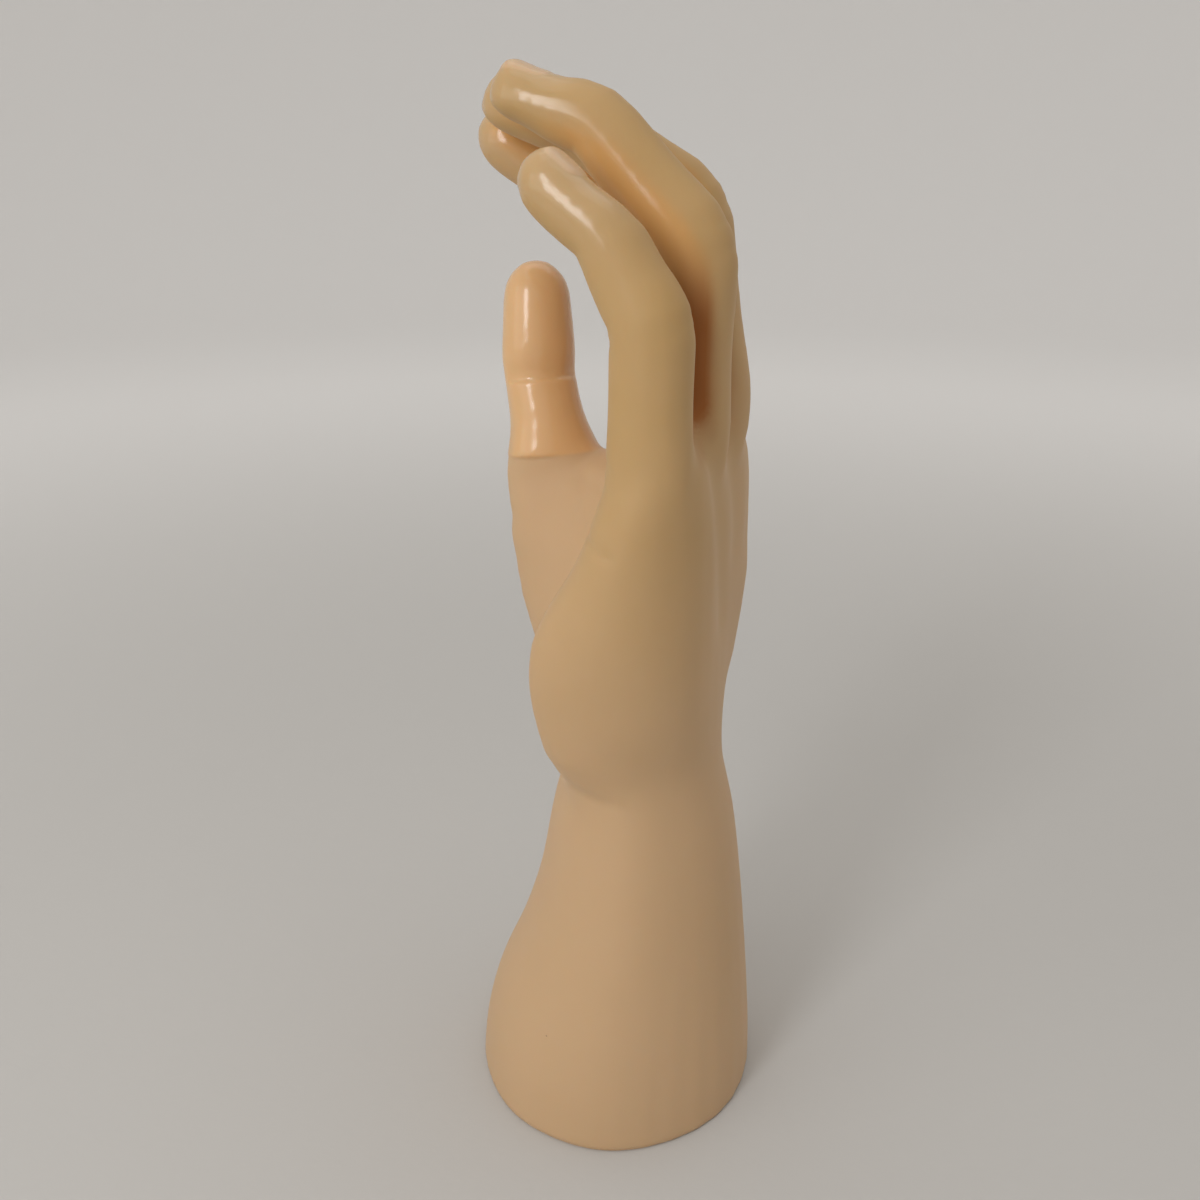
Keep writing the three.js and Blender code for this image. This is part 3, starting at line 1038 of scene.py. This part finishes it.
    def _refined(self, mesh: bpy.types.Mesh) -> bpy.types.Mesh:
        """Cuts the mesh finer round the nails and at the folds of the thumb.

        Args:
            mesh: the even mesh.

        Returns:
            The same mesh.
        """
        points = Surface(mesh).points
        near = np.zeros(len(points), bool)
        for digit in DIGITS:
            distance, _ = digit.nail.distance(digit.last_bone(), points)
            near |= distance < self.nail_zone
        for crease in CREASES:
            if crease.digit == THUMB.name:
                along, across, up = THUMB.joint(crease.joint).local(points)
                by_thumb = np.hypot(across, up) < THUMB.girth * 1.9
                near |= by_thumb & (np.abs(along - crease.shift) < self.nail_zone)
        copy = bmesh.new()
        copy.from_mesh(mesh)
        copy.verts.ensure_lookup_table()
        edges = [e for e in copy.edges if near[e.verts[0].index] and near[e.verts[1].index]]
        bmesh.ops.subdivide_edges(copy, edges=edges, cuts=self.nail_cuts, use_grid_fill=True)
        copy.to_mesh(mesh)
        copy.free()
        return mesh

    def _carve(self, surface: Surface, box: np.ndarray) -> None:
        """Slims fingertips, cuts nails, creases and palm lines, and stores the material's masks.

        Args:
            surface: the skin's outside.
            box: the CAD skin's points, whose box the skin keeps inside.
        """
        for taper in TAPERS:
            surface.points += taper.moves(surface.points, surface.normals())
        points, normals = surface.points.copy(), surface.normals()
        height = np.zeros(len(points))
        nails = np.zeros(len(points))
        for digit in DIGITS:
            distance, along = digit.nail.distance(digit.last_bone(), points)
            height += digit.nail.height(distance, along)
            nails = np.maximum(nails, ease(0.1, -0.4, distance))
        for crease in CREASES:
            height -= self._crease(crease, points, normals)
        for mark in (*GROOVES, *SWELLS):
            height -= mark.press(points, normals)
        surface.points = points + normals * (height * MM)[:, None]
        self._round_foot(surface, normals)
        lowest = box.min(axis=0) - [0, 0, self.skirt]
        surface.points = np.clip(surface.points, lowest, box.max(axis=0))
        surface.keep("nail", nails)
        self._mark(surface)

    def _mark(self, surface: Surface) -> None:
        """Stores where the skin is thumb or glossy, and painted shade and bounce light between fingers.

        Args:
            surface: the finished outside.
        """
        points, normals = surface.points, surface.normals()
        on_thumb = self._on_thumb(points, normals)
        # the thumb mask sets both its gloss and its painted bounce light tone
        surface.keep("thumb", on_thumb)
        surface.keep("polish", self._polish(points, normals, on_thumb))
        shut = surface.closeness(self.outlook_rays, self.outlook, self.knuckles)
        low = ease(*self.gap_heights, points[:, 2] / MM)
        between = ease(*self.gap_front, points[:, 0] / MM) * ease(-0.7, -0.3, normals[:, 0])
        between *= 0.2 + 0.8 * ease(0.3, -0.2, normals[:, 1])
        between *= ease(0.75, 0.35, normals[:, 2])
        by_little = 0.3 + 0.7 * ease(*self.little_side, points[:, 1] / MM)
        # painted shade: darkness from how much nearby skin shuts off the outlook, low in the finger
        # gaps
        surface.keep("hollow", ease(*self.gap_shade_shut, shut) * low * between * by_little)
        # painted bounce light: warm tone where nearby skin shuts off the outlook, above the gaps and
        # off the thumb
        warm = self.bounce_share * ease(*self.bounce_shut, shut)
        surface.keep("bounce_light", warm * (1.0 - low) * (1.0 - on_thumb))

    @staticmethod
    def _crease(crease: Crease, points: np.ndarray, normals: np.ndarray) -> np.ndarray:
        """The depth of a fold at each point.

        Args:
            crease: the fold.
            points: places on the skin, in metres.
            normals: the directions they face.

        Returns:
            The depths, in millimetres.
        """
        digit = digit_named(crease.digit)
        frame = digit.joint(crease.joint)
        along, across, up = frame.local(points)
        facing = (normals @ frame.back) * crease.side.value
        near = ease(digit.girth * 1.9, digit.girth * 1.4, np.hypot(across, up))
        past = along - crease.shift
        width = np.where(past > 0, crease.spread or crease.width, crease.width)
        return crease.depth * bell(past, width) * near * ease(*crease.facing, facing)

    @staticmethod
    def _on_thumb(points: np.ndarray, normals: np.ndarray) -> np.ndarray:
        """Which points lie on the thumb, from the fold at its root up.

        Args:
            points: places on the skin, in metres.
            normals: the directions they face.

        Returns:
            One on the thumb and nought elsewhere, with a narrow change at the fold on the pad's
            side and a wide one round the back.
        """
        frame = THUMB.joint(0)
        along, across, up = frame.local(points)
        pad = ease(0.1, 0.5, -normals @ frame.back)
        share = pad * ease(4.2, 5.4, along) + (1.0 - pad) * ease(-4.0, 26.0, along)
        fingers = np.min([finger.outside(points) for finger in FINGERS], axis=0)
        clear = ease(-2.0, 4.0, fingers - THUMB.outside(points))
        return ease(24.0, 17.0, np.hypot(across, up)) * share * clear

    def _polish(self, points: np.ndarray, normals: np.ndarray, on_thumb: np.ndarray) -> np.ndarray:
        """How glossy the skin is: the thumb and the finger ends shine, but not their undersides.

        Args:
            points: places on the skin, in metres.
            normals: the directions they face.
            on_thumb: which points lie on the thumb.

        Returns:
            The share of gloss at each point.
        """
        gloss = on_thumb
        for finger in FINGERS:
            along, across, up = finger.bone(2).local(points)
            near = ease(finger.girth * 2.0, finger.girth * 1.5, np.hypot(across, up))
            ends = self.finger_gloss * ease(-6.0, 6.0, along - finger.gloss_from)
            share = self.joint_gloss * ease(-36.0, -8.0, along) + ends
            gloss = np.maximum(gloss, share * near)
        return gloss * ease(-0.5, -0.1, normals[:, 2])

    def _round_foot(self, surface: Surface, normals: np.ndarray) -> None:
        """Rounds the edge that stands on the table.

        Args:
            surface: the skin's outside.
            normals: the directions its points face.
        """
        low = np.clip(1 - surface.points[:, 2] / (self.foot_round * MM), 0, 1)
        inward = self.foot_round * (1 - np.sqrt(1 - low**2)) * MM
        surface.points[:, :2] -= normals[:, :2] * inward[:, None]

    @staticmethod
    def _closed(mesh: bpy.types.Mesh, inside: bmesh.types.BMesh) -> bpy.types.Mesh:
        """Cuts the outside flat on the table and joins it to the inner wall.

        Args:
            mesh: the skin's outside.
            inside: the inner wall, which is used up.

        Returns:
            The closed skin.
        """
        inner = bpy.data.meshes.new("skin_inside")
        inside.to_mesh(inner)
        inside.free()
        skin = bmesh.new()
        skin.from_mesh(mesh)
        everything = skin.verts[:] + skin.edges[:] + skin.faces[:]
        bmesh.ops.bisect_plane(
            skin, geom=everything, plane_co=(0, 0, 0), plane_no=(0, 0, 1), clear_inner=True
        )
        for face in skin.faces:
            face.smooth = True
        skin.from_mesh(inner)
        rim = [e for e in skin.edges if e.is_boundary]
        bmesh.ops.triangle_fill(skin, edges=rim, use_beauty=True, use_dissolve=False, normal=(0, 0, -1))
        skin.to_mesh(mesh)
        skin.free()
        bpy.data.meshes.remove(inner)
        mesh.name = "skin"
        return mesh


@dataclass
class Insert:
    """A rigid piece inside the foot: its CAD shape with softened edges."""

    node: str
    piece: str
    slot: str
    finish: PlainFinish
    edge: float = 0.3 * MM
    sharp: float = math.radians(30)

    def build(self, nodes: dict[str, bpy.types.Object]) -> bpy.types.Object:
        """Makes the piece.

        Args:
            nodes: the CAD nodes.

        Returns:
            The piece, with its material.
        """
        copy = merged_copy(nodes[self.node])
        bmesh.ops.dissolve_limit(
            copy, angle_limit=math.radians(1), verts=copy.verts[:], edges=copy.edges[:]
        )
        edges = [e for e in copy.edges if e.is_manifold and e.calc_face_angle() > self.sharp]
        bmesh.ops.bevel(
            copy, geom=edges, offset=self.edge, segments=2, profile=0.5, affect="EDGES", material=-1
        )
        for face in copy.faces:
            face.smooth = True
        mesh = bpy.data.meshes.new(self.piece)
        copy.to_mesh(mesh)
        copy.free()
        mesh.set_sharp_from_angle(angle=self.sharp)
        mesh.materials.append(self.finish.material())
        piece = new_piece(self.piece, mesh)
        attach(piece, "root")
        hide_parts(self.node)
        return piece


@dataclass(frozen=True)
class Lamp:
    """A soft studio light."""

    name: str
    place: Point
    aim: Point
    size: tuple[float, float]
    power: float
    tone: Colour

    def build(self) -> bpy.types.Object:
        """Makes the light."""
        light = bpy.data.lights.new(self.name, "AREA")
        light.shape = "RECTANGLE"
        light.size, light.size_y = self.size
        light.energy = self.power
        light.color = self.tone
        lamp = bpy.data.objects.new(self.name, light)
        bpy.context.scene.collection.objects.link(lamp)
        lamp.visible_camera = False
        lamp.location = self.place
        way = Vector(self.aim) - Vector(self.place)
        lamp.rotation_euler = way.to_track_quat("-Z", "Y").to_euler()
        return lamp


@dataclass
class Studio:
    """The pale floor with its painted shade, the soft lights and the camera."""

    camera_place: Point = (-0.0044, -0.285, 0.240)
    camera_tilt: float = math.radians(70.0)
    lens: float = 36.09
    sensor: float = 36.0
    floor_radius: float = 1.6
    sweep: float = 1.0
    wall_top: float = 1.9
    sky: Colour = (0.96, 0.92, 0.88)
    sky_strength: float = 0.56
    lamps: tuple[Lamp, ...] = (
        Lamp("key", (-0.41, -0.61, 0.545), (0, 0, 0.215), (0.19, 0.49), 2.3, (0.97, 0.98, 1.0)),
        Lamp("side", (-1.0, -0.6, 0.56), (0, 0, 0.16), (1.0, 0.8), 2.2, (1.0, 0.98, 0.95)),
        Lamp("top", (0.1, 0.3, 1.7), (0, 0.3, 0), (1.6, 1.6), 6.0, (1.0, 0.98, 0.95)),
    )

    def build(self) -> None:
        """Makes the floor, lights, world and camera."""
        self._floor()
        for lamp in self.lamps:
            lamp.build()
        world = bpy.data.worlds.new("studio")
        world.use_nodes = True
        sky = world.node_tree.nodes["Background"]
        sky.inputs["Color"].default_value = (*self.sky, 1.0)
        sky.inputs["Strength"].default_value = self.sky_strength
        bpy.context.scene.world = world
        lens = bpy.data.cameras.new("camera")
        lens.sensor_width = self.sensor
        lens.lens = self.lens
        lens.clip_start = 0.01
        camera = bpy.data.objects.new("camera", lens)
        bpy.context.scene.collection.objects.link(camera)
        camera.location = self.camera_place
        camera.rotation_euler = (self.camera_tilt, 0, 0)
        bpy.context.scene.camera = camera
        bpy.context.scene.view_settings.view_transform = "Standard"

    def _floor(self) -> None:
        """Makes a floor that sweeps up all round."""
        bend = np.linspace(0, math.pi / 2, 13)
        profile = [Vector((0, 0, 0))]
        profile += [
            Vector((self.floor_radius + self.sweep * math.sin(a), 0, self.sweep * (1 - math.cos(a))))
            for a in bend
        ]
        profile.append(Vector((self.floor_radius + self.sweep, 0, self.wall_top)))
        sheet = bmesh.new()
        points = [sheet.verts.new(point) for point in profile]
        edges = [sheet.edges.new(pair) for pair in zip(points, points[1:])]
        bmesh.ops.spin(
            sheet, geom=points + edges, cent=(0, 0, 0), axis=(0, 0, 1), angle=2 * math.pi,
            steps=96, use_merge=True,
        )
        bmesh.ops.remove_doubles(sheet, verts=sheet.verts[:], dist=0.01 * MM)
        bmesh.ops.recalc_face_normals(sheet, faces=sheet.faces[:])
        for face in sheet.faces:
            face.smooth = True
        mesh = bpy.data.meshes.new("floor")
        sheet.to_mesh(mesh)
        sheet.free()
        mesh.materials.append(FloorFinish().material())
        new_piece("floor", mesh)


def main() -> None:
    """Builds the hand and its studio."""
    logging.basicConfig(level=logging.INFO, format="%(message)s")
    bpy.ops.wm.read_factory_settings(use_empty=True)
    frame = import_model()
    nodes = frame["nodes"]
    parts = (
        Skin(),
        Insert("base_disc", "disc", "disc", DISC_FINISH),
        Insert("foot_weight", "weight", "weight", WEIGHT_FINISH),
    )
    for part in parts:
        piece = part.build(nodes)
        piece.data.calc_loop_triangles()
        log.info("%s: %d triangles", piece.name, len(piece.data.loop_triangles))
    Studio().build()


if __name__ == "__main__":
    main()
